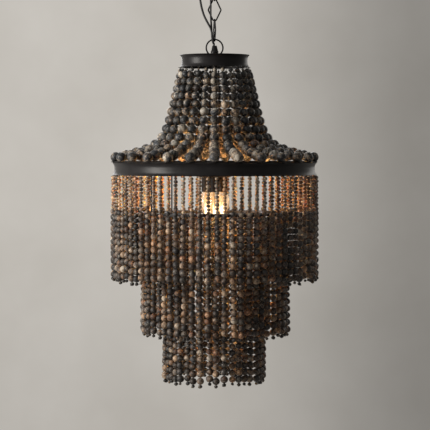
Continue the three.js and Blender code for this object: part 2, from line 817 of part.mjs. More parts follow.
// Assembly: beads
const crownSectionCount = Math.ceil(crownStrandCount / crownSectionStrandCount);
for (let i = 0; i < crownSectionCount; i += 1) {
  add(`crown_strands_${i + 1}`, crownSection(i), crownBead);
}
const outerFringeRadius = mainBandRadius - outerFringeInset;
const outerLevels = strandLevels(outerSmallLength, true);
const middleLevels = strandLevels(middleSmallLength, false);
const lowerLevels = strandLevels(lowerSmallLength, false);
const fringes = [
  ["outer_fringe", outerFringeSectionCount, outerFringeRadius, mainBandBottom, outerLevels],
  ["middle_fringe", middleFringeSectionCount, middleFringeRadius, hoopBottom, middleLevels],
  ["lower_fringe", lowerFringeSectionCount, lowerFringeRadius, hoopBottom, lowerLevels],
];
fringes.forEach(([name, sectionCount, radius, seat, levels]) => {
  for (let i = 0; i < sectionCount; i += 1) {
    add(`${name}_${i + 1}`, fringeSection(i, sectionCount, radius, seat - seatGap, levels), fringeBead);
  }
});

export default part;
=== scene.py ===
"""Looks for the beaded chandelier: beads strand by strand, smooth metal, cords, lit bulbs, light and camera.

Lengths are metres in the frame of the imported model: +Z up, the ceiling at z = 0 and the viewer towards -Y.
"""
import json
import math
import random

import bpy
import numpy as np
from mathutils import Matrix, Vector


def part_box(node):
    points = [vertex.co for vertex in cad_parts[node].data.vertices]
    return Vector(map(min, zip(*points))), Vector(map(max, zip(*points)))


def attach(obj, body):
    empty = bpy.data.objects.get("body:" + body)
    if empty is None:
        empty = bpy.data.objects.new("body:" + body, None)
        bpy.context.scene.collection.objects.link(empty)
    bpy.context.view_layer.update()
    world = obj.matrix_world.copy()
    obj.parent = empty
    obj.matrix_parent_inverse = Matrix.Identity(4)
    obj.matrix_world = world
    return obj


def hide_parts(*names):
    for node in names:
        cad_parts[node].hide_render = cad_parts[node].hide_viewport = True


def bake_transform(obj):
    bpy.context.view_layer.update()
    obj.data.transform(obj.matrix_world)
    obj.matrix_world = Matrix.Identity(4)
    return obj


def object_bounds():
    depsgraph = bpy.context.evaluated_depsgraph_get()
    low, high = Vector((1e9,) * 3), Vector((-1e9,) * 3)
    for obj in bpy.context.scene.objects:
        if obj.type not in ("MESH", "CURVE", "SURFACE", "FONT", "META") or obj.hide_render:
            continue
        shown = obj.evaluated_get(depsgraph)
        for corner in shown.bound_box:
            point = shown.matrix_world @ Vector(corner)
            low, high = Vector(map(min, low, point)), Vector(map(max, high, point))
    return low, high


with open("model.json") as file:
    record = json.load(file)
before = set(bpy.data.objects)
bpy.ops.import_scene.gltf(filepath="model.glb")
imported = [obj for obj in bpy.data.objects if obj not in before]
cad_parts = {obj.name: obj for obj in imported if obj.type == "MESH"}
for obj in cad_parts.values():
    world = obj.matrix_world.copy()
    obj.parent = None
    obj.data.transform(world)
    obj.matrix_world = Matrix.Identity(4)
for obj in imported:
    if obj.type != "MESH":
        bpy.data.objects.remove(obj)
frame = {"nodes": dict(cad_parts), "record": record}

cad_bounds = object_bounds()
MM = 0.001
SEAT = 0.3 * MM

# Levels and sizes taken from the frame
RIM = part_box("crown_band")[1][2]
CROWN_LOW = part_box("crown_band")[0][2]
MAIN_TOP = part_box("main_band")[1][2]
MAIN_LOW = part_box("main_band")[0][2]
BAND_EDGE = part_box("main_band")[1][0]
HOOP_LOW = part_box("middle_hoop")[0][2]
WIDEST = min(cad_bounds[1][0], cad_bounds[1][1]) - SEAT
CHAIN_YAW = math.radians(8)

# Camera: level with the main band, with the picture shifted down to the light as in the photograph
IMAGE_PIXELS = 430
FOCAL_PIXELS = 1875
HORIZON_PIXEL = 150
SENSOR_WIDTH = 36
CAMERA_DISTANCE = 4.5
CAMERA_SIDE = 1 * MM
CAMERA_BELOW_RIM = 228 * MM


def make_camera():
    data = bpy.data.cameras.new("camera")
    data.sensor_width = SENSOR_WIDTH
    data.lens = SENSOR_WIDTH * FOCAL_PIXELS / IMAGE_PIXELS
    data.shift_y = -(IMAGE_PIXELS / 2 - HORIZON_PIXEL) / IMAGE_PIXELS
    camera = bpy.data.objects.new("camera", data)
    bpy.context.collection.objects.link(camera)
    camera.location = (CAMERA_SIDE, -CAMERA_DISTANCE, RIM - CAMERA_BELOW_RIM)
    camera.rotation_euler = (math.pi / 2, 0, 0)
    bpy.context.scene.camera = camera


make_camera()


# Meshes
ON_AXIS = 1e-9
TURNED_CREASE = 35
TUBE_CREASE = 50


def add_object(name, mesh, material):
    obj = bpy.data.objects.new(name, mesh)
    bpy.context.collection.objects.link(obj)
    mesh.materials.append(material)
    return obj


def smooth(mesh, degrees):
    mesh.shade_smooth()
    mesh.set_sharp_from_angle(angle=math.radians(degrees))


def lathe(profile, segments, closed=False):
    """A turned mesh. The profile holds (radius, height) pairs, from the bottom up on its outside."""
    on_axis = [radius < ON_AXIS for radius, _ in profile]
    verts, starts = [], []
    for (radius, height), pole in zip(profile, on_axis):
        starts.append(len(verts))
        if pole:
            verts.append((0, 0, height))
            continue
        for k in range(segments):
            angle = 2 * math.pi * k / segments
            verts.append((radius * math.cos(angle), radius * math.sin(angle), height))
    pairs = list(zip(range(len(profile) - 1), range(1, len(profile))))
    if closed:
        pairs.append((len(profile) - 1, 0))
    faces = []
    for low, high in pairs:
        if on_axis[low] and on_axis[high]:
            continue
        for k in range(segments):
            n = (k + 1) % segments
            a, b = starts[low] + k * (not on_axis[low]), starts[low] + n * (not on_axis[low])
            c, d = starts[high] + n * (not on_axis[high]), starts[high] + k * (not on_axis[high])
            if on_axis[low]:
                faces.append((a, c, d))
            elif on_axis[high]:
                faces.append((a, b, c))
            else:
                faces.append((a, b, c, d))
    mesh = bpy.data.meshes.new("turned")
    mesh.from_pydata(verts, [], faces)
    smooth(mesh, TURNED_CREASE)
    return mesh


def tube_arrays(points, radius, sides, closed=False):
    """Vertices and faces of a round tube through the points, without twist."""
    points = [Vector(p) for p in points]
    count = len(points)
    runs = []
    for i in range(count):
        before = points[(i - 1) % count if closed else max(i - 1, 0)]
        after = points[(i + 1) % count if closed else min(i + 1, count - 1)]
        runs.append((after - before).normalized())
    normal = runs[0].orthogonal().normalized()
    frames = []
    for i in range(count):
        if i:
            normal = runs[i - 1].rotation_difference(runs[i]) @ normal
        frames.append(normal.copy())
    twist = 0
    if closed:
        back = runs[-1].rotation_difference(runs[0]) @ frames[-1]
        twist = back.angle(frames[0])
        if back.cross(frames[0]).dot(runs[0]) < 0:
            twist = -twist
    verts = []
    for i, (point, run, side) in enumerate(zip(points, runs, frames)):
        side = Matrix.Rotation(twist * i / count, 3, run) @ side
        up = run.cross(side)
        for k in range(sides):
            angle = 2 * math.pi * k / sides
            verts.append(point + radius * (math.cos(angle) * side + math.sin(angle) * up))
    faces = []
    for i in range(count if closed else count - 1):
        near = i * sides
        far = ((i + 1) % count) * sides
        for k in range(sides):
            n = (k + 1) % sides
            faces.append((near + k, near + n, far + n, far + k))
    if not closed:
        last = (count - 1) * sides
        faces.append(tuple(reversed(range(sides))))
        faces.append(tuple(range(last, last + sides)))
    return verts, faces


def tubes(name, runs, sides, material, closed=False):
    """Round tubes in one object. Each run is (points, radius)."""
    verts, faces = [], []
    for points, radius in runs:
        own_verts, own_faces = tube_arrays(points, radius, sides, closed)
        base = len(verts)
        verts.extend(own_verts)
        faces.extend(tuple(base + v for v in face) for face in own_faces)
    mesh = bpy.data.meshes.new(name)
    mesh.from_pydata(verts, [], faces)
    smooth(mesh, TUBE_CREASE)
    return add_object(name, mesh, material)


def tube(name, points, radius, sides, material, closed=False):
    return tubes(name, [(points, radius)], sides, material, closed)


def bead_template(segments, rings, width):
    """A bead of unit radius along its hole, which lies on Z, and of that width across it.

    Gives its vertices, quads and triangles.
    """
    hole = 0.93
    cap = 0.2
    verts = [(0, 0, hole)]
    for i in range(rings):
        polar = cap + (math.pi - 2 * cap) * i / (rings - 1)
        across = width * math.sin(polar)
        for k in range(segments):
            angle = 2 * math.pi * k / segments
            verts.append((across * math.cos(angle), across * math.sin(angle), math.cos(polar)))
    verts.append((0, 0, -hole))
    last = len(verts) - 1
    quads, triangles = [], []
    for k in range(segments):
        n = (k + 1) % segments
        triangles.append((0, 1 + k, 1 + n))
        for i in range(rings - 1):
            a = 1 + i * segments
            b = a + segments
            quads.append((a + k, b + k, b + n, a + n))
        a = 1 + (rings - 1) * segments
        triangles.append((last, a + n, a + k))
    return np.array(verts, np.float32), np.array(quads, np.int32), np.array(triangles, np.int32)


def bead_object(name, beads, detail, material):
    """All beads of a section as one mesh. Each is (centre, axis, radius, colour). The colour is an attribute."""
    verts, quads, triangles = bead_template(*detail)
    size = len(verts)
    all_verts = np.empty((len(beads) * size, 3), np.float32)
    colours = np.empty((len(beads) * size, 4), np.float32)
    for i, (centre, axis, radius, colour) in enumerate(beads):
        turn = np.array(Vector((0, 0, 1)).rotation_difference(Vector(axis)).to_matrix(), np.float32)
        rows = slice(i * size, (i + 1) * size)
        all_verts[rows] = (verts * radius) @ turn.T + np.array(centre, np.float32)
        colours[rows] = (*colour, 1)
    bases = (np.arange(len(beads), dtype=np.int32) * size)[:, None, None]
    all_quads = (quads[None] + bases).reshape(-1)
    all_triangles = (triangles[None] + bases).reshape(-1)
    loops = np.concatenate([all_quads, all_triangles])
    quad_count = len(all_quads) // 4
    triangle_count = len(all_triangles) // 3
    mesh = bpy.data.meshes.new(name)
    mesh.vertices.add(len(all_verts))
    mesh.vertices.foreach_set("co", all_verts.ravel())
    mesh.loops.add(len(loops))
    mesh.loops.foreach_set("vertex_index", loops)
    mesh.polygons.add(quad_count + triangle_count)
    starts = np.concatenate([np.arange(quad_count) * 4, quad_count * 4 + np.arange(triangle_count) * 3])
    mesh.polygons.foreach_set("loop_start", starts.astype(np.int32))
    mesh.update(calc_edges=True)
    mesh.validate()
    attribute = mesh.color_attributes.new("bead", "FLOAT_COLOR", "POINT")
    attribute.data.foreach_set("color", colours.ravel())
    mesh.shade_smooth()
    return add_object(name, mesh, material)


# Materials
# Where Blender's mix node has its colours: the two inputs and the result
MIX_A, MIX_B, MIX_RESULT = 6, 7, 2
WHITE, BLACK = (1.0, 1.0, 1.0), (0.0, 0.0, 0.0)


def add_node(tree, kind, inputs=None, **settings):
    """A new node. An input given as a socket is linked, and any other is set."""
    node = tree.nodes.new(kind)
    for key, value in settings.items():
        setattr(node, key, value)
    for key, value in (inputs or {}).items():
        if isinstance(value, bpy.types.NodeSocket):
            tree.links.new(value, node.inputs[key])
        else:
            node.inputs[key].default_value = value
    return node


def add_ramp(tree, factor, stops):
    """A colour ramp. Each stop is (position, colour)."""
    node = add_node(tree, "ShaderNodeValToRGB", {"Fac": factor})
    elements = node.color_ramp.elements
    while len(elements) < len(stops):
        elements.new(0.5)
    for element, (position, colour) in zip(elements, stops):
        element.position = position
        element.color = (*colour, 1)
    return node.outputs["Color"]


class Nodes:
    """A short way to build a material's nodes."""

    def __init__(self, name):
        self.material = bpy.data.materials.new(name)
        self.material.use_nodes = True
        self.tree = self.material.node_tree
        self.shader = self.tree.nodes["Principled BSDF"]

    def add(self, kind, inputs=None, **settings):
        return add_node(self.tree, kind, inputs, **settings)

    def link(self, source, target):
        self.tree.links.new(source, target)

    def set(self, **values):
        for key, value in values.items():
            self.shader.inputs[key.replace("_", " ")].default_value = value

    def feed(self, **sources):
        for key, source in sources.items():
            self.link(source, self.shader.inputs[key.replace("_", " ")])

    def ramp(self, factor, stops):
        return add_ramp(self.tree, factor, stops)

    def noise(self, vector, scale, detail, distortion=0.0):
        inputs = {"Vector": vector, "Scale": scale, "Detail": detail, "Distortion": distortion}
        return self.add("ShaderNodeTexNoise", inputs).outputs["Fac"]

    def cell_edges(self, vector, scale):
        node = self.add("ShaderNodeTexVoronoi", {"Vector": vector, "Scale": scale}, feature="DISTANCE_TO_EDGE")
        return node.outputs["Distance"]

    def math(self, operation, a, b):
        return self.add("ShaderNodeMath", {0: a, 1: b}, operation=operation).outputs[0]

    def mix(self, factor, a, b, kind="MIX"):
        inputs = {"Factor": factor, MIX_A: a, MIX_B: b}
        node = self.add("ShaderNodeMix", inputs, data_type="RGBA", blend_type=kind)
        return node.outputs[MIX_RESULT]

    def between(self, value, low, high):
        return self.add("ShaderNodeMapRange", {"Value": value, "To Min": low, "To Max": high}).outputs[0]

    def bump(self, height, strength, distance):
        node = self.add("ShaderNodeBump", {"Height": height, "Strength": strength, "Distance": distance})
        self.feed(Normal=node.outputs["Normal"])

    def coordinates(self):
        return self.add("ShaderNodeTexCoord").outputs["Object"]


def painted(name, colour, roughness):
    """Satin paint with faint orange peel and uneven sheen."""
    variation = 0.06
    lighter = tuple(c * 1.6 + 0.004 for c in colour)
    n = Nodes(name)
    where = n.coordinates()
    cloud = n.noise(where, scale=38, detail=4)
    n.feed(Base_Color=n.ramp(cloud, [(0.35, colour), (0.75, lighter)]),
           Roughness=n.between(cloud, roughness - variation, roughness + variation))
    n.bump(n.noise(where, scale=900, detail=2), strength=0.12, distance=0.4 * MM)
    n.set(Specular_IOR_Level=0.25)
    return n.material


def bead_material(name, stops, scale, roughness, mottle, through=0.0):
    """Mottled stone-like wood: cloudy patches in each bead's tone, fine flecks, dark veins and pale crackle.

    A bead's colour attribute holds its tone, warmth and shade. By the share called through, light passes it.
    """
    smoother, rougher = 0.12, 0.15
    vein, pale_line = (0.32, 0.26, 0.22), (0.46, 0.42, 0.35, 1.0)
    n = Nodes(name)
    own = n.add("ShaderNodeAttribute", attribute_name="bead").outputs["Color"]
    parts = n.add("ShaderNodeSeparateColor", {"Color": own})
    tone, warmth, shade = parts.outputs[0], parts.outputs[1], parts.outputs[2]
    shift = n.add("ShaderNodeVectorMath", {0: own, 1: (3.1, 2.3, 1.7)}, operation="MULTIPLY").outputs[0]
    where = n.add("ShaderNodeVectorMath", {0: n.coordinates(), 1: shift}, operation="ADD").outputs[0]
    patches = n.noise(where, scale, detail=5, distortion=1.4)
    flecks = n.noise(where, scale * 4.5, detail=3, distortion=0.6)
    broad = n.noise(where, scale * 0.45, detail=1, distortion=0.4)
    level = tone
    for cloud, share in ((patches, 1), (broad, 0.7), (flecks, 0.4)):
        level = n.math("ADD", level, n.math("MULTIPLY", n.math("SUBTRACT", cloud, 0.5), mottle * share))
    tinted = n.mix(1.0, n.ramp(level, stops), n.ramp(warmth, WARMTH_STOPS), "MULTIPLY")
    veins = n.ramp(n.cell_edges(where, scale * 0.9), [(0.0, vein), (0.07, WHITE)])
    veined = n.mix(0.6, tinted, veins, "MULTIPLY")
    worn = n.ramp(n.noise(where, scale * 0.5, detail=2), [(0.54, BLACK), (0.62, WHITE)])
    crackle = n.ramp(n.cell_edges(where, scale * 1.7), [(0.02, (0.75, 0.75, 0.75)), (0.10, BLACK)])
    crackled = n.mix(n.math("MULTIPLY", worn, crackle), veined, pale_line)
    dim = n.ramp(shade, [(0.0, (0.6, 0.6, 0.6)), (1.0, (1.25, 1.25, 1.25))])
    n.feed(Base_Color=n.mix(1.0, crackled, dim, "MULTIPLY"),
           Roughness=n.between(flecks, roughness - smoother, roughness + rougher))
    height = n.math("ADD", n.math("MULTIPLY", patches, 0.6), n.math("MULTIPLY", flecks, 0.4))
    n.bump(height, strength=0.35, distance=1.2 * MM)
    n.set(Coat_Weight=0.1, Coat_Roughness=0.25, Specular_IOR_Level=0.36, Subsurface_Weight=through,
          Subsurface_Scale=4 * MM, Subsurface_Radius=(1.0, 0.76, 0.44))
    return n.material


def rubber_material(name, roughness):
    n = Nodes(name)
    grain = n.noise(n.coordinates(), scale=420, detail=3)
    n.feed(Base_Color=n.ramp(grain, [(0.3, (0.006, 0.006, 0.007)), (0.8, (0.014, 0.014, 0.015))]))
    n.set(Roughness=roughness)
    n.bump(grain, strength=0.15, distance=0.3 * MM)
    return n.material


def metal_material(name, colour, roughness):
    darker = tuple(c * 0.72 for c in colour)
    n = Nodes(name)
    where = n.coordinates()
    n.feed(Base_Color=n.ramp(n.noise(where, scale=120, detail=4), [(0.3, darker), (0.7, colour)]))
    n.set(Metallic=1.0, Roughness=roughness)
    n.bump(n.noise(where, scale=700, detail=2), strength=0.1, distance=0.3 * MM)
    return n.material


def clear_glass_material(name):
    """Clear bulb glass, faintly aglow with the warm light inside it."""
    n = Nodes(name)
    where = n.coordinates()
    cloud = n.noise(where, scale=60, detail=2)
    n.feed(Base_Color=n.ramp(cloud, [(0.3, (1.0, 0.965, 0.90)), (0.7, (1.0, 0.98, 0.94))]))
    n.set(Roughness=0.03, IOR=1.45, Transmission_Weight=1.0, Emission_Color=(1.0, 0.55, 0.22, 1.0),
          Emission_Strength=0.1)
    n.bump(n.noise(where, scale=90, detail=2), strength=0.05, distance=0.5 * MM)
    return n.material


def glow_material(name):
    """A lit filament: nearly white in the lower third of the bulb, and amber above."""
    n = Nodes(name)
    where = n.coordinates()
    height = n.add("ShaderNodeSeparateXYZ", {"Vector": where}).outputs["Z"]
    low, high = (v[2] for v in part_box("bulb_1"))
    share = n.add("ShaderNodeMapRange", {"Value": height, "From Min": low, "From Max": high}).outputs[0]
    level = n.math("ADD", share, n.math("MULTIPLY", n.noise(where, scale=900, detail=2), 0.1))
    n.feed(Emission_Color=n.ramp(level, GLOW_STOPS))
    n.set(Base_Color=(0.03, 0.02, 0.012, 1.0), Roughness=0.6, Emission_Strength=4.6)
    return n.material


BEAD_STOPS = [
    (0.0, (0.012, 0.011, 0.011)),
    (0.28, (0.050, 0.046, 0.045)),
    (0.46, (0.108, 0.094, 0.086)),
    (0.60, (0.190, 0.142, 0.112)),
    (0.74, (0.340, 0.238, 0.165)),
    (0.87, (0.510, 0.395, 0.280)),
    (1.0, (0.650, 0.550, 0.430)),
]
CROWN_STOPS = [
    (0.0, (0.010, 0.011, 0.012)),
    (0.30, (0.042, 0.045, 0.050)),
    (0.50, (0.094, 0.094, 0.097)),
    (0.64, (0.170, 0.142, 0.118)),
    (0.78, (0.325, 0.248, 0.175)),
    (0.90, (0.525, 0.432, 0.320)),
    (1.0, (0.680, 0.600, 0.490)),
]
WARMTH_STOPS = [
    (0.0, (0.88, 0.98, 1.10)),
    (0.4, (1.0, 1.0, 1.0)),
    (0.7, (1.16, 0.98, 0.82)),
    (1.0, (1.34, 0.92, 0.72)),
]
GLOW_STOPS = [
    (0.3, (1.0, 0.78, 0.46)),
    (0.4, (0.55, 0.35, 0.17)),
    (0.5, (0.2, 0.115, 0.052)),
    (0.8, (0.13, 0.066, 0.028)),
]
PAINT = painted("satin_black_paint", colour=(0.009, 0.008, 0.009), roughness=0.34)
WIRE_PAINT = painted("black_wire_paint", colour=(0.008, 0.007, 0.007), roughness=0.42)
SOCKET_PLASTIC = painted("socket_plastic", colour=(0.020, 0.015, 0.012), roughness=0.5)
RUBBER = rubber_material("cord_rubber", roughness=0.55)
STRING = metal_material("dark_wire", colour=(0.16, 0.14, 0.12), roughness=0.35)
ZINC = metal_material("zinc_plate", colour=(0.62, 0.63, 0.66), roughness=0.3)
BRASS = metal_material("lamp_brass", colour=(0.72, 0.5, 0.24), roughness=0.28)
CROWN_BEAD = bead_material("crown_bead", CROWN_STOPS, scale=105, roughness=0.42, mottle=2.6)
FRINGE_BEAD = bead_material("fringe_bead", BEAD_STOPS, scale=135, roughness=0.48, mottle=1.5)
SMALL_BEAD = bead_material("small_fringe_bead", BEAD_STOPS, scale=135, roughness=0.48, mottle=1.4, through=0.7)
CLEAR_GLASS = clear_glass_material("bulb_glass")
FILAMENT = glow_material("lit_filament")


def dress_nodes():
    """The CAD pieces that stay get their finish."""
    looks = {
        "mounting_strap": ZINC, "crown_nut": ZINC, "spider_nut": ZINC, "cord_bushing": RUBBER,
        "crown_spider": PAINT, "main_spider": PAINT, "middle_hoop": PAINT, "lower_hoop": PAINT,
        "stem_head": PAINT,
    }
    for name, material in looks.items():
        obj = frame["nodes"][name]
        obj.data.materials.clear()
        obj.data.materials.append(material)


dress_nodes()


# Paths
def lengths_along(points):
    """The length of the path up to each of its points."""
    lengths = [0.0]
    for a, b in zip(points, points[1:]):
        lengths.append(lengths[-1] + (b - a).length)
    return lengths


def smooth_path(points, steps):
    """Points at even spacing on the centripetal Catmull-Rom curve through the given ones."""
    parts = 12
    dense = []
    padded = [2 * points[0] - points[1], *points, 2 * points[-1] - points[-2]]
    for p0, p1, p2, p3 in zip(padded, padded[1:], padded[2:], padded[3:]):
        t0 = 0.0
        t1 = t0 + (p1 - p0).length ** 0.5
        t2 = t1 + (p2 - p1).length ** 0.5
        t3 = t2 + (p3 - p2).length ** 0.5
        for k in range(parts):
            t = t1 + (t2 - t1) * k / parts
            a1 = p0 * ((t1 - t) / (t1 - t0)) + p1 * ((t - t0) / (t1 - t0))
            a2 = p1 * ((t2 - t) / (t2 - t1)) + p2 * ((t - t1) / (t2 - t1))
            a3 = p2 * ((t3 - t) / (t3 - t2)) + p3 * ((t - t2) / (t3 - t2))
            b1 = a1 * ((t2 - t) / (t2 - t0)) + a2 * ((t - t0) / (t2 - t0))
            b2 = a2 * ((t3 - t) / (t3 - t1)) + a3 * ((t - t1) / (t3 - t1))
            dense.append(b1 * ((t2 - t) / (t2 - t1)) + b2 * ((t - t1) / (t2 - t1)))
    dense.append(points[-1].copy())
    lengths = lengths_along(dense)
    even = []
    i = 0
    for k in range(steps + 1):
        target = lengths[-1] * k / steps
        while i < len(lengths) - 2 and lengths[i + 1] < target:
            i += 1
        span = lengths[i + 1] - lengths[i]
        even.append(dense[i].lerp(dense[i + 1], (target - lengths[i]) / span if span else 0))
    return even


def upright_circle(radius, middle, yaw, steps):
    """Points round a circle that stands upright, with its centre at that height and its plane turned by yaw."""
    turn = Matrix.Rotation(yaw, 3, "Z")
    angles = [2 * math.pi * k / steps for k in range(steps)]
    return [turn @ Vector((radius * math.cos(angle), 0, middle + radius * math.sin(angle))) for angle in angles]


def quarter_round(centre, across, rise, steps):
    """Profile points from straight below the (radius, height) centre round to its outer side."""
    angles = [k / steps * math.pi / 2 for k in range(steps + 1)]
    return [(centre[0] + across * math.sin(angle), centre[1] - rise * math.cos(angle)) for angle in angles]


def in_mm(level, outline):
    """A profile from an outline in millimetres above that level."""
    return [(radius * MM, level + height * MM) for radius, height in outline]


# Cords
# The routes in millimetres, with heights above the rim
SUPPLY_ROUTE = [
    (-2.8, -3.9, 29), (-4.6, -5.6, 36), (-5.6, -6.4, 45), (-6.8, -6.2, 54), (-10, -5.6, 65),
    (-16.6, -5.4, 77), (-24.6, -5.2, 93), (-30.4, -4.8, 111), (-34.4, -4.2, 132), (-36.6, -3.4, 153),
    (-37.2, -2.6, 173), (-36.2, -1.8, 194), (-33.6, -1, 215), (-30.4, -0.3, 234),
]
EARTH_ROUTE = [
    (-3.4, 3.7, 29), (-5.4, 4.8, 36), (-6.4, 4.9, 45), (-6.9, 4, 54), (-7.3, 1.6, 65),
    (-8.2, -2.6, 77), (-9, -5.7, 89), (-9.3, -6.3, 100), (-9.2, -6.3, 118), (-9, -6.2, 138),
    (-9, -6.4, 158), (-9.6, -6.9, 178), (-11.8, -7.2, 198), (-15.6, -6.2, 215), (-20.4, -2, 234),
]
SUPPLY_DIAMETER = 5.2 * MM
EARTH_DIAMETER = 4.6 * MM
CORD_SIDES = 12
CORD_STEPS = 132
CORD_STRAIGHT = 3.5 * MM
# These heights above the rim, in millimetres, part the cord into stretches.
CORD_CUTS = [52, 83, 128, 166, 210]
BOOT_LEAN = -1.6 * MM
BOOT_SPREAD = 2.9 * MM
BUSHING = -26 * MM
ENTRY_SPREAD = (SUPPLY_DIAMETER + EARTH_DIAMETER) / 4 + SEAT


def cord_points(route, lower, upper):
    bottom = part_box("cord_boot")[1][2] + SEAT
    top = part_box("cord_bushing")[0][2] - SEAT
    points = [Vector((*lower, bottom)), Vector((*lower, bottom + CORD_STRAIGHT))]
    points += [Vector((x * MM, y * MM, RIM + z * MM)) for x, y, z in route]
    points += [Vector((*upper, top - 2 * CORD_STRAIGHT)), Vector((*upper, top))]
    return points


def make_cord(name, node, route, diameter, lower, upper):
    """A cord in stretches, parted at those heights, from the boot up to the canopy."""
    limits = [RIM + cut * MM for cut in CORD_CUTS]
    stretches = [[]]
    for point in smooth_path(cord_points(route, lower, upper), CORD_STEPS):
        if len(stretches) <= len(limits) and point.z > limits[len(stretches) - 1] and len(stretches[-1]) > 2:
            stretches[-1].append(point)
            stretches.append([])
        stretches[-1].append(point)
    for i, points in enumerate(stretches):
        piece = tube(f"{name}_{i + 1}", points, diameter / 2, CORD_SIDES, RUBBER)
        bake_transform(piece)
        if i == 0:
            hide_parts(node)


make_cord("supply_cord_skin", "supply_cord", SUPPLY_ROUTE, SUPPLY_DIAMETER, (BOOT_LEAN, -BOOT_SPREAD),
          (BUSHING - ENTRY_SPREAD, 0))
make_cord("earth_wire_skin", "earth_wire", EARTH_ROUTE, EARTH_DIAMETER, (BOOT_LEAN, BOOT_SPREAD),
          (BUSHING + ENTRY_SPREAD, 0))


# Chain, ring and canopy
BODY_OF = {node: body for body, nodes in frame["record"]["behaviour"]["bodies"].items() for node in nodes}
WIRE_SIDES = 14
LINK_WIRE = 1.8 * MM
LINK_WIDTH = 34 * MM
LINK_TIP_BEND = 5.2 * MM
LINK_SIDE_BEND = 4.5 * MM
RING_WIRE = 1.9 * MM
RING_RADIUS = 20.2 * MM
CANOPY_RADIUS = 60 * MM
CANOPY_CORNER = 14 * MM
CANOPY_WALL = 1.6 * MM
CANOPY_HOLE = 5.3 * MM
COLLAR_RADIUS = 11 * MM
COLLAR_HEIGHT = 12 * MM
COLLAR_EDGE = 1.2 * MM
EYE_RADIUS = 12.5 * MM
EYE_WIRE = 2.2 * MM


def turned_piece(name, node, profile, segments, material, closed=False, offset=(0, 0)):
    mesh = lathe(profile, segments, closed)
    mesh.transform(Matrix.Translation((*offset, 0)))
    obj = add_object(name, mesh, material)
    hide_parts(node)
    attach(obj, BODY_OF[node])
    return obj


def link_points(top, height, width, tip, side, steps):
    """The centre line of a diamond link in the XZ plane, with those bend radii at its tips and sides."""
    slope = math.atan2(height / 2, width / 2)
    corners = [
        (width / 2, 0, side, 0, math.pi / 2 - slope),
        (0, height / 2, tip, math.pi / 2, slope),
        (-width / 2, 0, side, math.pi, math.pi / 2 - slope),
        (0, -height / 2, tip, -math.pi / 2, slope),
    ]
    points = []
    for x, z, bend, facing, half in corners:
        middle_x = x - bend * math.cos(facing)
        middle_z = top - height / 2 + z - bend * math.sin(facing)
        for i in range(steps + 1):
            angle = facing - half + 2 * half * i / steps
            points.append(Vector((middle_x + bend * math.cos(angle), 0, middle_z + bend * math.sin(angle))))
    return points


def make_chain():
    for i in range(4):
        node = f"chain_link_{i + 1}"
        low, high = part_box(node)
        height = high[2] - low[2] - 2 * LINK_WIRE
        turn = Matrix.Rotation(CHAIN_YAW + (math.pi / 2 if i % 2 else 0), 3, "Z")
        width = LINK_WIDTH - 2 * LINK_WIRE
        points = link_points(high[2] - LINK_WIRE, height, width, LINK_TIP_BEND, LINK_SIDE_BEND, steps=10)
        points = [turn @ point for point in points]
        obj = tube(f"link_wire_{i + 1}", points, LINK_WIRE, WIRE_SIDES, WIRE_PAINT, closed=True)
        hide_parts(node)
        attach(obj, BODY_OF[node])
    low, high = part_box("hanging_ring")
    points = upright_circle(RING_RADIUS, (low[2] + high[2]) / 2, CHAIN_YAW, steps=56)
    obj = tube("ring_wire", points, RING_WIRE, WIRE_SIDES, WIRE_PAINT, closed=True)
    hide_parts("hanging_ring")
    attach(obj, "ring")


def make_canopy():
    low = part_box("ceiling_canopy")[0][2]
    centre = (CANOPY_RADIUS - CANOPY_CORNER, low + CANOPY_CORNER)
    inner_corner = CANOPY_CORNER - CANOPY_WALL
    outside = quarter_round(centre, CANOPY_CORNER, CANOPY_CORNER, steps=8)
    inside = quarter_round(centre, inner_corner, inner_corner, steps=8)
    profile = [(CANOPY_HOLE, low), *outside, (CANOPY_RADIUS, 0), (CANOPY_RADIUS - CANOPY_WALL, 0),
               *reversed(inside), (CANOPY_HOLE, low + CANOPY_WALL)]
    turned_piece("canopy_pan", "ceiling_canopy", profile, 96, PAINT, closed=True)
    loop_low, loop_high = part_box("canopy_loop")
    bottom, top = loop_high[2] - COLLAR_HEIGHT, loop_high[2]
    inset = COLLAR_RADIUS - COLLAR_EDGE
    collar = add_object("loop_collar", lathe([
        (0, bottom), (inset, bottom), (COLLAR_RADIUS, bottom + COLLAR_EDGE), (COLLAR_RADIUS, top - COLLAR_EDGE),
        (inset, top), (0, top)], 40), PAINT)
    points = upright_circle(EYE_RADIUS, loop_low[2] + EYE_WIRE + EYE_RADIUS, CHAIN_YAW + math.pi / 2, steps=40)
    eye = tube("loop_eye", points, EYE_WIRE, WIRE_SIDES, PAINT, closed=True)
    for piece in (collar, eye):
        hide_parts("canopy_loop")
        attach(piece, "canopy")


make_chain()
make_canopy()


# Bands and fittings
BAND_FLARE = 5 * MM
BAND_WALL = 2 * MM
LIP_EDGE = 0.8 * MM
BOOT_RIBS = 5
BOOT_FOOT_RIB = 8.8 * MM
BOOT_TAPER = 3 * MM
RIB_HALF = 0.9 * MM
RIB_DEPTH = 0.7 * MM
PIPE_RADIUS = 6.4 * MM
CUP_RADIUS = 42 * MM
CUP_EDGE = 6 * MM
CUP_BORE = 6.8 * MM
FINIAL_RADIUS = 8.9 * MM
FINIAL_DOME = 9 * MM
# Outlines in millimetres: the boot's collar above its foot, and the others' upper ends above their tops
BOOT_COLLAR = [(0, 0), (9.4, 0), (9.7, 0.5), (9.7, 2), (8.9, 2.8)]
BOOT_TOP = [(5.4, 0), (0, 0)]
CUP_RIM = [(42, -3), (41.2, -1), (39, 0), (6.8, 0)]
FINIAL_TOP = [(8.9, -1), (8.2, 0), (0, 0)]


def levels(node):
    """The heights of a piece's lower and upper end."""
    low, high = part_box(node)
    return low[2], high[2]


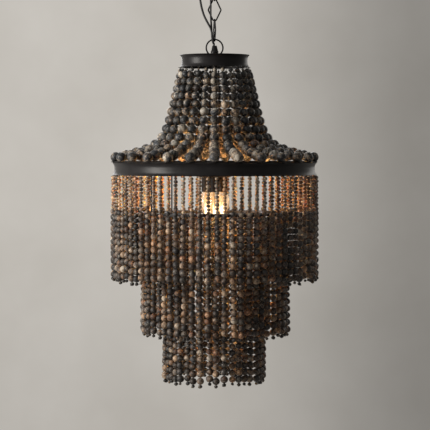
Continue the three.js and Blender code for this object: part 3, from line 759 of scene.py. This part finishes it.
def band_profile(node):
    """The spool-shaped section: a rolled lip above and below, a hollow waist and a straight inside."""
    steps, hollow = 18, 3.2
    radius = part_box(node)[1][0]
    bottom, top = levels(node)
    outside = []
    for k in range(steps + 1):
        share = k / steps
        depth = abs(2 * share - 1) ** hollow
        height = bottom + LIP_EDGE + (top - bottom - 2 * LIP_EDGE) * share
        outside.append((radius - BAND_FLARE * (1 - depth), height))
    inside, lip = radius - BAND_FLARE - BAND_WALL, radius - LIP_EDGE
    return [(inside, bottom), (lip, bottom), *outside, (lip, top), (inside, top)]


def make_bands():
    for name, node, segments in (("crown_hoop_skin", "crown_band", 128), ("main_hoop_skin", "main_band", 256)):
        turned_piece(name, node, band_profile(node), segments, PAINT, closed=True)


def make_boot():
    low, high = levels("cord_boot")
    first, last = low + 3 * MM, high - 0.4 * MM
    profile = in_mm(low, BOOT_COLLAR)
    for k in range(BOOT_RIBS):
        share = (k + 0.5) / BOOT_RIBS
        radius = BOOT_FOOT_RIB - BOOT_TAPER * share
        height = first + (last - first) * share
        profile += [(radius, height - RIB_HALF), (radius - RIB_DEPTH, height)]
        profile.append((radius - 0.1 * MM, height + RIB_HALF))
    turned_piece("boot_skin", "cord_boot", [*profile, *in_mm(high, BOOT_TOP)], 40, RUBBER)


def make_stem():
    low, high = levels("stem_pipe")
    profile = [(0, low), (PIPE_RADIUS, low), (PIPE_RADIUS, high), (0, high)]
    turned_piece("stem_skin", "stem_pipe", profile, 32, PAINT)


def make_cup():
    low, high = levels("socket_cup")
    corner = quarter_round((CUP_RADIUS - CUP_EDGE, low + CUP_EDGE), CUP_EDGE, CUP_EDGE, steps=6)
    profile = [(CUP_BORE, low), *corner, *in_mm(high, CUP_RIM)]
    turned_piece("cup_skin", "socket_cup", profile, 72, PAINT, closed=True)


def make_finial():
    low, high = levels("finial")
    dome = quarter_round((0, low + FINIAL_DOME), FINIAL_RADIUS, FINIAL_DOME, steps=8)
    turned_piece("finial_skin", "finial", [*dome, *in_mm(high, FINIAL_TOP)], 32, PAINT)


make_bands()
make_boot()
make_stem()
make_cup()
make_finial()


# Lamps
BULB_RADIUS = 17 * MM
BULB_WALL = 0.7 * MM
# The bulb's outline down from its neck, as shares of its radius and its length
BULB_SHARES = [
    (0.0, 1.0), (0.10, 0.985), (0.2, 0.955), (0.36, 0.895), (0.55, 0.81), (0.74, 0.71), (0.89, 0.60),
    (0.975, 0.49), (1.0, 0.38), (0.975, 0.28), (0.9, 0.18), (0.78, 0.09), (0.62, 0.02), (0.5, 0.0),
]
FILAMENTS = 4
FILAMENT_RADIUS = 1.6 * MM
FILAMENT_TOP = (4.6 * MM, 9 * MM)
FILAMENT_LOW = (2.8 * MM, 7 * MM)
FILAMENT_TURN = 0.6
THREADS = 6
THREAD_START = 0.1 * MM
THREAD_LENGTH = 17 * MM
THREAD_ROOT, THREAD_CREST = 6.1 * MM, 6.7 * MM
LAMP_POWER = 1.5
LAMP_COLOUR = (1.0, 0.55, 0.2)
LAMP_RADIUS = 17 * MM
LAMP_SHARE = 0.45
# Outlines in millimetres above the holder's mouth, above its top, and above the glass
HOLDER_MOUTH = [
    (0, 24), (7.8, 24), (7.8, 0), (11, 0), (11.8, 1), (11.8, 12), (11.2, 12.6), (11.2, 14), (11.8, 14.6),
]
HOLDER_TOP = [(11.8, -1), (11, 0), (0, 0)]
GLASS_STEM = [(0, -2), (2.2, -2.4), (1.6, -1), (3.4, -0.2), (0, -0.2)]
CAP_TOP = [(2.4, 19.5), (0, 20.6)]


def brass_part(name, profile, segments, centre, node):
    mesh = lathe(profile, segments)
    mesh.transform(Matrix.Translation((*centre, 0)))
    piece = add_object(name, mesh, BRASS)
    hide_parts(node)
    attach(piece, "fixture")


def make_filament(number, centre, glass_top, tip):
    """The lit sticks of one bulb, which close in downward."""
    ends = [(FILAMENT_TOP[0], glass_top - FILAMENT_TOP[1]), (FILAMENT_LOW[0], tip + FILAMENT_LOW[1])]
    sticks = []
    for k in range(FILAMENTS):
        angle = math.pi / 4 + k * 2 * math.pi / FILAMENTS + (number - 1) * FILAMENT_TURN
        run = [Vector((centre[0] + r * math.cos(angle), centre[1] + r * math.sin(angle), z)) for r, z in ends]
        sticks.append(([run[0], run[0].lerp(run[1], 0.5), run[1]], FILAMENT_RADIUS))
    glow = tubes(f"filament_{number}", sticks, 8, FILAMENT)
    glow.visible_shadow = False
    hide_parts(f"bulb_{number}")
    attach(glow, "fixture")


def make_light(number, location, parent):
    """A lamp inside the glass. The eye, reflections and the glass itself don't see it."""
    light = bpy.data.lights.new(f"lamp_{number}", "POINT")
    light.energy = LAMP_POWER
    light.color = LAMP_COLOUR
    light.shadow_soft_size = LAMP_RADIUS
    lamp = bpy.data.objects.new(f"lamp_{number}", light)
    bpy.context.collection.objects.link(lamp)
    lamp.location = location
    lamp.parent = parent
    lamp.visible_camera = lamp.visible_glossy = lamp.visible_transmission = False


def make_lamp(number):
    socket, bulb = f"socket_{number}", f"bulb_{number}"
    low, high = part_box(socket)
    centre = ((low[0] + high[0]) / 2, (low[1] + high[1]) / 2)
    profile = [*in_mm(low[2], HOLDER_MOUTH), *in_mm(high[2], HOLDER_TOP)]
    turned_piece(f"holder_skin_{number}", socket, profile, 36, SOCKET_PLASTIC, offset=centre)
    tip = levels(bulb)[0]
    glass_top = low[2] - SEAT
    length = glass_top - tip
    outline = [(share * BULB_RADIUS, glass_top - drop * length) for share, drop in BULB_SHARES]
    lowest = tip + 2 * BULB_WALL
    inner = [(max(0, radius - BULB_WALL), max(height, lowest)) for radius, height in reversed(outline)]
    glass = turned_piece(f"bulb_glass_{number}", bulb, [*outline, *inner], 48, CLEAR_GLASS,
                         closed=True, offset=centre)
    glass.visible_shadow = False
    make_filament(number, centre, glass_top, tip)
    brass_part(f"bulb_stem_{number}", in_mm(glass_top, GLASS_STEM), 20, centre, bulb)
    foot = glass_top + THREAD_START
    cap = [(0, foot)]
    for k in range(THREADS * 2 + 1):
        cap.append((THREAD_CREST if k % 2 else THREAD_ROOT, foot + k * THREAD_LENGTH / (THREADS * 2)))
    brass_part(f"bulb_cap_{number}", [*cap, *in_mm(glass_top, CAP_TOP)], 36, centre, bulb)
    make_light(number, (*centre, glass_top - LAMP_SHARE * length), glass)


for lamp_number in (1, 2, 3):
    make_lamp(lamp_number)


# Beads
CHANCE = random.Random(41)
# Shares of draws, each with its range of tones
CROWN_TONES = [(0.66, (0.22, 0.48)), (0.86, (0.48, 0.68)), (1, (0.72, 0.95))]
CURTAIN_TONES = [(0.5, (0.24, 0.46)), (0.86, (0.46, 0.66)), (1, (0.66, 0.88))]


def clamped(value):
    return min(1.0, max(0.0, value))


def bead_colour(tones, lean, warmth, spread):
    """A bead's own tone, warmth and shade."""
    draw = CHANCE.random()
    low, high = next(limits for share, limits in tones if draw < share)
    tone = CHANCE.uniform(low, high)
    return tone + lean, clamped(CHANCE.gauss(warmth, spread)), CHANCE.random()


def crown_colour(lean):
    """Slate grey, with a tan or cream bead here and there."""
    return bead_colour(CROWN_TONES, lean, 0.36, 0.22)


def curtain_colour(lean, warmth=0.5):
    """Slate and brown, much tan, a few cream."""
    return bead_colour(CURTAIN_TONES, lean, warmth, 0.26)


def tilted(axis, amount):
    """The axis, leaning a little at random, as a bead sits on its string."""
    lean = Vector((CHANCE.gauss(0, amount), CHANCE.gauss(0, amount), CHANCE.gauss(0, amount)))
    return (Vector(axis) + lean).normalized()


def in_plane(point, angle, sideways=0.0):
    """A (radius, height) point in the upright plane at that angle."""
    radius, height = point
    return Vector((
        radius * math.cos(angle) - sideways * math.sin(angle),
        radius * math.sin(angle) + sideways * math.cos(angle),
        height,
    ))


def strand_angles(section, per_section, total, turn):
    """The angles of one section's strands. The first strand of all is turned by turn steps from the front."""
    step = 2 * math.pi / total
    first = section * per_section
    count = min(per_section, total - first)
    return [-math.pi / 2 + step * (first + i + turn) for i in range(count)]


# Crown
CROWN_STRANDS = 27
CROWN_SECTION = 4
LARGEST_BEAD = 26 * MM
CROWN_SHARES = [0.62, 0.65, 0.69, 0.73, 0.77, 0.81, 0.85, 0.88, 0.92, 0.96, 1, 1, 1, 0.96]
CROWN_BEADS = [share * LARGEST_BEAD for share in CROWN_SHARES]
CROWN_DETAIL = (18, 12, 1.03)
# The curve's start and end, its slopes there and their reach
CROWN_TOP = (81.6 * MM, CROWN_LOW - SEAT - 1.2 * MM)
CROWN_LEAVE = math.radians(13)
CROWN_LEAVE_REACH = 185 * MM
CROWN_LAND = math.radians(10.2)
CROWN_LAND_REACH = 152 * MM
END_BEAD = (239 * MM, MAIN_TOP + SEAT + CROWN_BEADS[-1] / 2)
CURVE_STEPS = 400
END_GAP = 0.6 * MM
# The beads after this one lie on the flare and are lighter.
PALE_AFTER = 9
PALE_LEAN = 0.1
BEAD_FILL = 0.998


def bezier(controls, t):
    s = 1 - t
    weights = (s**3, 3 * s * s * t, 3 * s * t * t, t**3)
    return sum((Vector(c) * w for c, w in zip(controls, weights)), Vector((0, 0)))


def crown_curve():
    """Points down one crown strand as (radius, height), and their lengths along it."""
    end = (END_BEAD[0] + CROWN_BEADS[-1] / 2 * math.cos(CROWN_LAND),
           END_BEAD[1] - CROWN_BEADS[-1] / 2 * math.sin(CROWN_LAND))
    controls = [
        CROWN_TOP,
        (CROWN_TOP[0] + CROWN_LEAVE_REACH * math.sin(CROWN_LEAVE),
         CROWN_TOP[1] - CROWN_LEAVE_REACH * math.cos(CROWN_LEAVE)),
        (end[0] - CROWN_LAND_REACH * math.cos(CROWN_LAND), end[1] + CROWN_LAND_REACH * math.sin(CROWN_LAND)),
        end,
    ]
    dense = [bezier(controls, k / CURVE_STEPS) for k in range(CURVE_STEPS + 1)]
    return dense, lengths_along(dense)


CROWN_DENSE, CROWN_LENGTHS = crown_curve()


def crown_at(along):
    """The point and direction at that length down the curve."""
    i = int(np.searchsorted(CROWN_LENGTHS, along))
    i = min(max(i, 1), len(CROWN_DENSE) - 1)
    a, b = CROWN_DENSE[i - 1], CROWN_DENSE[i]
    share = (along - CROWN_LENGTHS[i - 1]) / (CROWN_LENGTHS[i] - CROWN_LENGTHS[i - 1])
    return a.lerp(b, share), (b - a).normalized()


def crown_sizes():
    """One strand's bead lengths from the top: a small spacer, then the graded beads."""
    slope = CHANCE.uniform(-0.1, 0.1)
    sizes = [size * (CHANCE.uniform(0.96, 1.02) + slope * (i / len(CROWN_BEADS) - 0.5))
             for i, size in enumerate(CROWN_BEADS)]
    last = CROWN_BEADS[-1] * CHANCE.uniform(0.95, 0.985)
    spacer = CHANCE.uniform(5, 12) * MM
    fit = (sum(CROWN_BEADS) - spacer - last) / sum(sizes[:-1])
    return [spacer, *(size * fit for size in sizes[:-1]), last]


def wire_ends(start, angle, reach):
    """The two twisted ends of a tie wire, poking outwards from a lip."""
    ends = []
    for side in (-1, 1):
        spread = side * CHANCE.uniform(0.5, 2.6) * MM
        out = reach * CHANCE.uniform(0.45, 1.0)
        rise = CHANCE.uniform(-0.3, 2.4) * MM
        points = [
            in_plane(start, angle),
            in_plane((start[0] + out * 0.5, start[1] + rise * 0.2), angle, spread * 0.5),
            in_plane((start[0] + out, start[1] + rise), angle, spread),
        ]
        ends.append((points, 0.45 * MM))
    return ends


def make_crown_section(section):
    beads, wires = [], []
    for angle in strand_angles(section, CROWN_SECTION, CROWN_STRANDS, turn=0):
        sizes = crown_sizes()
        lean = CHANCE.gauss(0, 0.04)
        first = along = CROWN_LENGTHS[-1] - sum(sizes) - END_GAP
        for i, size in enumerate(sizes):
            point, run = crown_at(along + size / 2)
            sideways = CHANCE.gauss(0, 0.7) * MM
            axis = tilted(in_plane(run, angle), 0.05)
            colour = crown_colour(lean + (PALE_LEAN if i > PALE_AFTER else 0))
            beads.append((in_plane(point, angle, sideways), axis, size / 2 * BEAD_FILL, colour))
            along += size
        line = [in_plane(crown_at(first * k / 2)[0], angle) for k in range(3)]
        line[0].z += 0.8 * MM
        wires.append((line, 0.5 * MM))
        wires += wire_ends((CROWN_TOP[0] + 1 * MM, CROWN_TOP[1]), angle, 5.5 * MM)
        wires += wire_ends((BAND_EDGE - 2 * MM, MAIN_TOP + SEAT + 0.6 * MM), angle, 6.5 * MM)
    node = f"crown_strands_{section + 1}"
    obj = bead_object(f"crown_beads_{section + 1}", beads, CROWN_DETAIL, CROWN_BEAD)
    strings = tubes(f"crown_strings_{section + 1}", wires, 6, STRING)
    for piece in (obj, strings):
        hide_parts(node)
        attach(piece, "fixture")


def make_tie_wire():
    """A thin wire that lies on the main band's upper lip and passes outside each strand's last bead."""
    wire, inner, bulge, width = 1.6 * MM, 241.2 * MM, 5.3 * MM, 9 * MM
    per_strand = 12
    steps = CROWN_STRANDS * per_strand
    points = []
    for k in range(steps):
        off = (k + per_strand // 2) % per_strand - per_strand // 2
        away = off * 2 * math.pi / steps * END_BEAD[0]
        radius = inner + bulge * math.exp(-((away / width) ** 2))
        points.append(in_plane((radius, MAIN_TOP + SEAT + wire), -math.pi / 2 + 2 * math.pi * k / steps))
    piece = tube("lip_tie_wire", points, wire, 6, WIRE_PAINT, closed=True)
    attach(piece, "fixture")


for crown_number in range(7):
    make_crown_section(crown_number)
make_tie_wire()


# Curtains
FRINGE_SECTION = 8
FRINGE_TURN = 0.25
GRADED_BEADS = [size * MM for size in (12, 13, 14, 14, 15, 15, 16, 16, 16.5, 17, 17)]
GRADED_LENGTH = sum(GRADED_BEADS)
BEAD_PITCH = 0.995
LARGE_WIDTH = 1.05
SMALL_WIDTH = 1.2
LARGE_DETAIL = (12, 8, LARGE_WIDTH)
SMALL_DETAIL = (8, 6, SMALL_WIDTH)
END_BEAD_SPACE = 6.4 * MM
# Name, sections, radius, the level it hangs from, and its small beads' length, number and lean in tone
FRINGES = [
    ("outer_fringe", 10, 244 * MM, MAIN_LOW, 83 * MM, 10, 0.26),
    ("middle_fringe", 7, 171.5 * MM, HOOP_LOW, 117.5 * MM, 14, -0.14),
    ("lower_fringe", 5, 117 * MM, HOOP_LOW, 230.5 * MM, 28, -0.14),
]


class Strand:
    """The line of one strand, which drifts sideways and sways in or out on its way down."""

    def __init__(self, radius, angle, top, length):
        self.radius, self.angle, self.top, self.length = radius, angle, top, length
        self.drift = CHANCE.gauss(0, 1.6) * MM
        self.sway = CHANCE.uniform(-4.5, 2.5) * MM

    def centre(self, size, z, jitter, width):
        """The centre of a bead of that size whose upper end is at z."""
        share = (self.top - z + size / 2) / self.length
        middle = min(self.radius + self.sway * share, WIDEST - width * size / 2)
        return in_plane((middle, z - size / 2), self.angle, self.drift * share + CHANCE.gauss(0, jitter) * MM)


def add_small_beads(beads, strand, length, count, tone, warmth):
    """Small beads that fill the length below the strand's top. Gives the level of their end."""
    z = strand.top
    shares = [CHANCE.uniform(0.78, 1.12) for _ in range(count)]
    for share in shares:
        size = length * share / sum(shares)
        colour = (tone + CHANCE.gauss(0, 0.07), clamped(warmth + CHANCE.gauss(0, 0.12)), CHANCE.random())
        centre = strand.centre(size, z, 0.25, SMALL_WIDTH)
        beads.append((centre, tilted((0, 0, 1), 0.1), size / 2 * 0.99, colour))
        z -= size
    return z


def add_graded_beads(beads, strand, z, length, lean):
    """The graded beads from z down, which fill the length but for their overlap. Gives their end's level."""
    sizes = [nominal * CHANCE.uniform(0.92, 1.04) for nominal in GRADED_BEADS]
    fit = length / sum(sizes)
    for size in (nominal * fit for nominal in sizes):
        fill = CHANCE.uniform(0.98, 1.0)
        beads.append((strand.centre(size, z, 0.3, LARGE_WIDTH), tilted((0, 0, 1), 0.07), size / 2 * fill,
                      curtain_colour(lean)))
        z -= size * BEAD_PITCH
    return z


def add_strand_end(beads, wires, strand, z, spare):
    """The dark end bead, and the two wire ends under it."""
    size = min(CHANCE.uniform(5.4, 9) * MM, END_BEAD_SPACE + spare)
    dark = (CHANCE.uniform(0.05, 0.5), 0.4, 0.4)
    centre = strand.centre(size, z, 0.2, SMALL_WIDTH)
    beads.append((centre, tilted((0, 0, 1), 0.15), size / 2, dark))
    tail = centre - Vector((0, 0, size / 2 - 0.4 * MM))
    for side in (-1, 1):
        turn = strand.angle + side * CHANCE.uniform(0.3, 1.2) * math.pi / 2
        curl = Vector((math.cos(turn), math.sin(turn), 0))
        reach = CHANCE.uniform(3.5, 5.5) * MM
        wires.append(([tail, tail + 0.5 * reach * curl - Vector((0, 0, 0.3 * MM)),
                       tail + reach * curl + Vector((0, 0, CHANCE.uniform(-0.2, 2.4) * MM))], 0.6 * MM))


def make_fringe_section(name, section, sections, radius, seat, small_length, small_count, small_lean):
    node = f"{name}_{section + 1}"
    large, small, wires = [], [], []
    for angle in strand_angles(section, FRINGE_SECTION, sections * FRINGE_SECTION, FRINGE_TURN):
        slack = CHANCE.uniform(0.6, 1.6) * MM
        top = seat - SEAT - slack
        strand = Strand(radius, angle, top, small_length + GRADED_LENGTH)
        scale = CHANCE.uniform(0.96, 1.0)
        lean = CHANCE.gauss(0, 0.11)
        tone, warmth, _ = curtain_colour(CHANCE.gauss(small_lean, 0.08), 0.62)
        shift = CHANCE.uniform(-3.5, 3.5) * MM
        z = add_small_beads(small, strand, small_length + shift - slack, small_count, tone, warmth)
        z = add_graded_beads(large, strand, z, scale * GRADED_LENGTH - shift, lean)
        add_strand_end(small, wires, strand, z, (1 - scale * BEAD_PITCH) * GRADED_LENGTH)
        hanger = [in_plane((radius, seat - 0.1 * MM), angle), in_plane((radius, top - 1 * MM), angle)]
        wires.append((hanger, 0.4 * MM))
        turn = CHANCE.uniform(-2, 2) * MM
        wires.append(([in_plane((radius + 2 * MM, top - 1 * MM), angle, turn * 0.2),
                       in_plane((radius + 4.2 * MM, top - 2 * MM), angle, turn)], 0.35 * MM))
    pieces = [
        bead_object(f"{name}_beads_{section + 1}", large, LARGE_DETAIL, FRINGE_BEAD),
        bead_object(f"{name}_small_beads_{section + 1}", small, SMALL_DETAIL, SMALL_BEAD),
        tubes(f"{name}_strings_{section + 1}", wires, 5, STRING),
    ]
    for piece in pieces:
        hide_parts(node)
        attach(piece, BODY_OF[node])


for fringe_name, section_count, *fringe_sizes in FRINGES:
    for fringe_number in range(section_count):
        make_fringe_section(fringe_name, fringe_number, section_count, *fringe_sizes)


# Stage and light
FLOOR_RADIUS = 3.4
FLOOR_LEVEL = -2.1
FLOOR_GLOW = 0.7
WALL_STOPS = [(0.3, (0.53, 0.50, 0.455)), (0.72, (0.60, 0.57, 0.525))]
FILL_COLOUR = (0.66, 0.67, 0.70, 1)
FILL_STRENGTH = 0.02
CENTRE = (0, 0, -0.62)
# Name, watts, colour, width and height, and place. All face the centre.
LIGHTS = [
    ("window", 108, (1.0, 0.955, 0.90), (1.2, 2.4), (-2.85, -1.2, -0.05)),
    ("room_fill", 0.5, (1.0, 0.93, 0.84), (2.4, 2.4), (2.6, -2.6, -0.1)),
    ("back_window", 30, (0.97, 0.98, 1.0), (2.0, 2.0), (-0.4, 3.2, 0.4)),
    ("side_fill", 8, (1.0, 0.97, 0.93), (1.6, 1.6), (1.8, 2.9, 0.1)),
]


def make_floor():
    """A pale floor, seen from above alone and lifted for the eye to the level of the wall."""
    mesh = lathe([(FLOOR_RADIUS, FLOOR_LEVEL), (0, FLOOR_LEVEL)], 96)
    n = Nodes("pale_floor")
    cloud = n.noise(n.coordinates(), scale=1.6, detail=4)
    n.feed(Base_Color=n.ramp(cloud, [(0.3, (0.56, 0.53, 0.49)), (0.7, (0.62, 0.59, 0.55))]))
    n.set(Roughness=0.9, Emission_Color=(0.56, 0.53, 0.49, 1.0))
    seen = n.add("ShaderNodeLightPath").outputs["Is Camera Ray"]
    n.feed(Emission_Strength=n.math("MULTIPLY", seen, FLOOR_GLOW))
    under = n.add("ShaderNodeNewGeometry").outputs["Backfacing"]
    clear = n.add("ShaderNodeBsdfTransparent").outputs["BSDF"]
    mix = n.add("ShaderNodeMixShader", {0: under, 1: n.shader.outputs["BSDF"], 2: clear})
    n.link(mix.outputs[0], n.tree.nodes["Material Output"].inputs["Surface"])
    floor = add_object("pale_floor", mesh, n.material)


def make_world():
    """A pale wall for the eye, reflections and glass, with painted shade that darkens it to the right and below,
    and a faint fill.
    """
    world = bpy.data.worlds.new("room")
    bpy.context.scene.world = world
    world.use_nodes = True
    tree = world.node_tree
    tree.nodes.clear()

    def graded(value, start, end, low, high):
        span = {"Value": value, "From Min": start, "From Max": end, "To Min": low, "To Max": high}
        return add_node(tree, "ShaderNodeMapRange", span, interpolation_type="SMOOTHSTEP").outputs[0]

    def combined(operation, a, b):
        return add_node(tree, "ShaderNodeMath", {0: a, 1: b}, operation=operation).outputs[0]

    direction = add_node(tree, "ShaderNodeTexCoord").outputs["Generated"]
    clouds = {"Vector": direction, "Scale": 16.0, "Detail": 4.0, "Roughness": 0.55}
    noise = add_node(tree, "ShaderNodeTexNoise", clouds)
    plaster = add_ramp(tree, noise.outputs["Fac"], WALL_STOPS)
    axes = add_node(tree, "ShaderNodeSeparateXYZ", {"Vector": direction}).outputs
    # Painted shade: the wall is darker to the right and towards the bottom.
    painted_shade_right = graded(axes["X"], -0.02, 0.12, 0.97, 0.46)
    lower = graded(axes["Z"], -0.15, -0.02, 0.87, 1.0)
    level = combined("MULTIPLY", painted_shade_right, lower)
    wall = add_node(tree, "ShaderNodeBackground", {"Color": plaster, "Strength": level})
    fill = add_node(tree, "ShaderNodeBackground", {"Color": FILL_COLOUR, "Strength": FILL_STRENGTH})
    rays = add_node(tree, "ShaderNodeLightPath").outputs
    bounced = combined("MAXIMUM", rays["Is Glossy Ray"], rays["Is Transmission Ray"])
    seen = combined("MAXIMUM", rays["Is Camera Ray"], bounced)
    mix = add_node(tree, "ShaderNodeMixShader", {0: seen, 1: fill.outputs[0], 2: wall.outputs[0]})
    tree.links.new(mix.outputs[0], add_node(tree, "ShaderNodeOutputWorld").inputs["Surface"])


def area_light(name, watts, colour, size, location):
    light = bpy.data.lights.new(name, "AREA")
    light.energy = watts
    light.color = colour
    light.shape = "RECTANGLE"
    light.size, light.size_y = size
    lamp = bpy.data.objects.new(name, light)
    bpy.context.collection.objects.link(lamp)
    lamp.location = location
    lamp.rotation_euler = (Vector(CENTRE) - Vector(location)).to_track_quat("-Z", "Y").to_euler()


make_floor()
make_world()
for light_values in LIGHTS:
    area_light(*light_values)
bpy.context.scene.view_settings.view_transform = "Standard"
